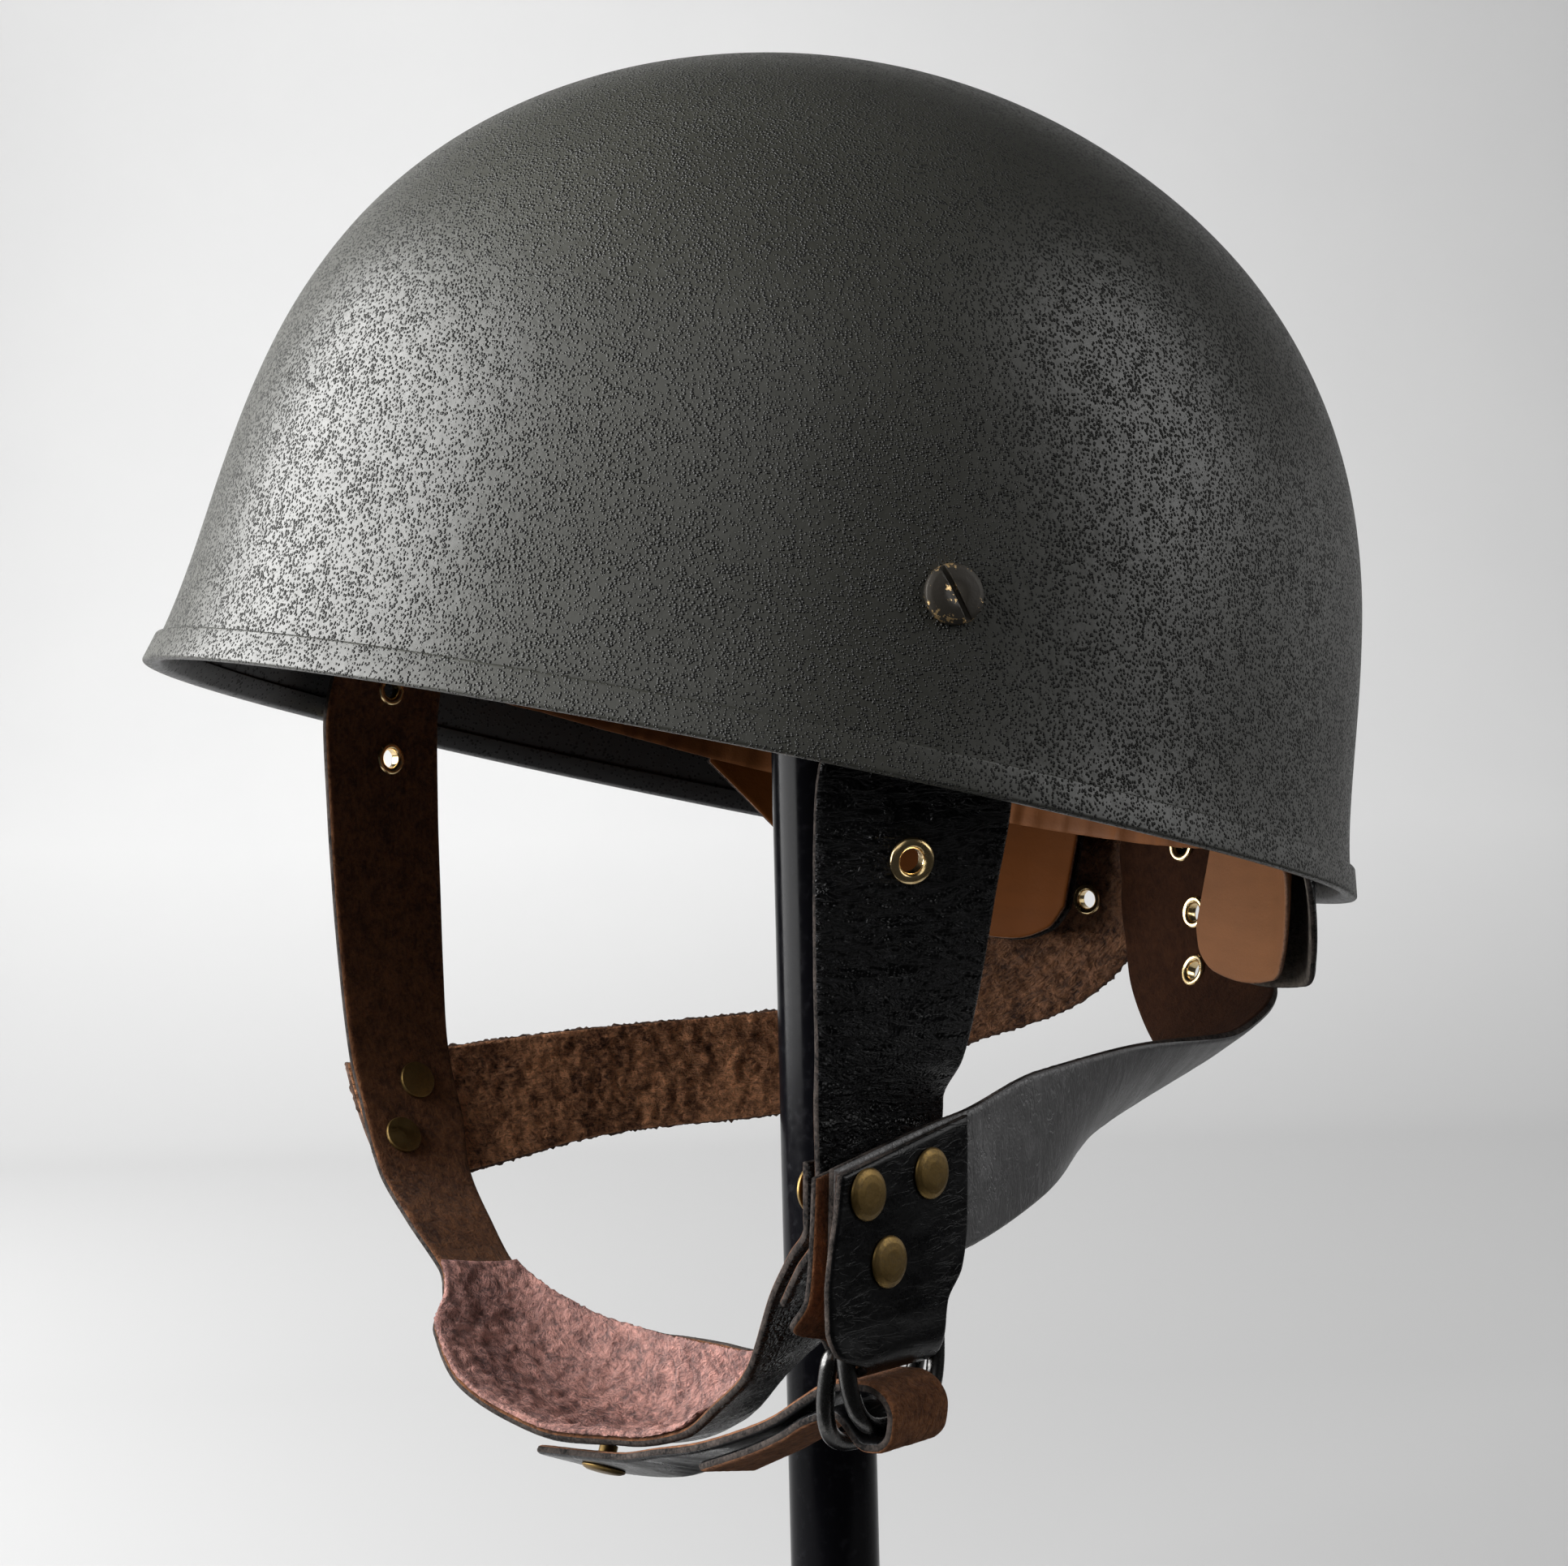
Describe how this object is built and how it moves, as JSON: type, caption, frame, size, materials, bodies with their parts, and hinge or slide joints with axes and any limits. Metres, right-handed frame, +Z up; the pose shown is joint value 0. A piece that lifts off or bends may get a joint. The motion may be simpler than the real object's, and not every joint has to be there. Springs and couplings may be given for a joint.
{
  "type": "paratrooper helmet on a stand",
  "caption": "Domed paratrooper helmet with leather chin and nape straps, suede-lined chin cup, neck flaps and adjusting rings, set on a plain round-based pole stand.",
  "frame": {"origin": "centre of the underside of the stand's round base", "axes": "+Z up, -Y the helmet's front, +X the wearer's left"},
  "size_m": [0.2501, 0.2765, 0.4059],
  "materials": {
    "cork_paint": "matt, coarse grain",
    "band_paint": "matt",
    "black_leather": "satin grain outside, brown flesh side inside",
    "tan_leather": "smooth",
    "pink_suede": "fuzzy suede",
    "antique_brass": "aged",
    "gilt_brass": "polished",
    "gunmetal": "blackened",
    "black_gloss_paint": "gloss"
  },
  "bodies": {
    "root": {"shell": "cork_paint", "rim_band": "band_paint", "sweatband": "tan_leather", "screw_left": "antique_brass", "screw_right": "antique_brass", "screw_rear": "antique_brass", "chin_strap_left": "black_leather", "chin_cup_strap": "black_leather", "chin_cup_lining": "pink_suede", "nape_strap_left": "black_leather", "nape_strap_right": "black_leather", "ring_holder": "black_leather", "ring_inner": "gunmetal", "ring_outer": "gunmetal", "adjusting_strap": "black_leather", "neck_flap_lining_left": "tan_leather", "neck_flap_cover_left": "black_leather", "neck_flap_lining_right": "tan_leather", "neck_flap_cover_right": "black_leather", "rivet_stack_1": "antique_brass", "rivet_stack_2": "antique_brass", "rivet_stack_3": "antique_brass", "rivet_nape_1": "antique_brass", "rivet_nape_2": "antique_brass", "rivet_chin": "antique_brass", "eyelet_left_1": "gilt_brass", "eyelet_left_2": "gilt_brass", "eyelet_right_1": "gilt_brass", "eyelet_right_2": "gilt_brass", "eyelet_nape_left_1": "gilt_brass", "eyelet_nape_left_2": "gilt_brass", "eyelet_nape_left_3": "gilt_brass", "eyelet_nape_right_1": "gilt_brass", "stand_base": "black_gloss_paint", "stand_pole": "black_gloss_paint", "stand_head": "black_gloss_paint"}
  },
  "joints": []
}
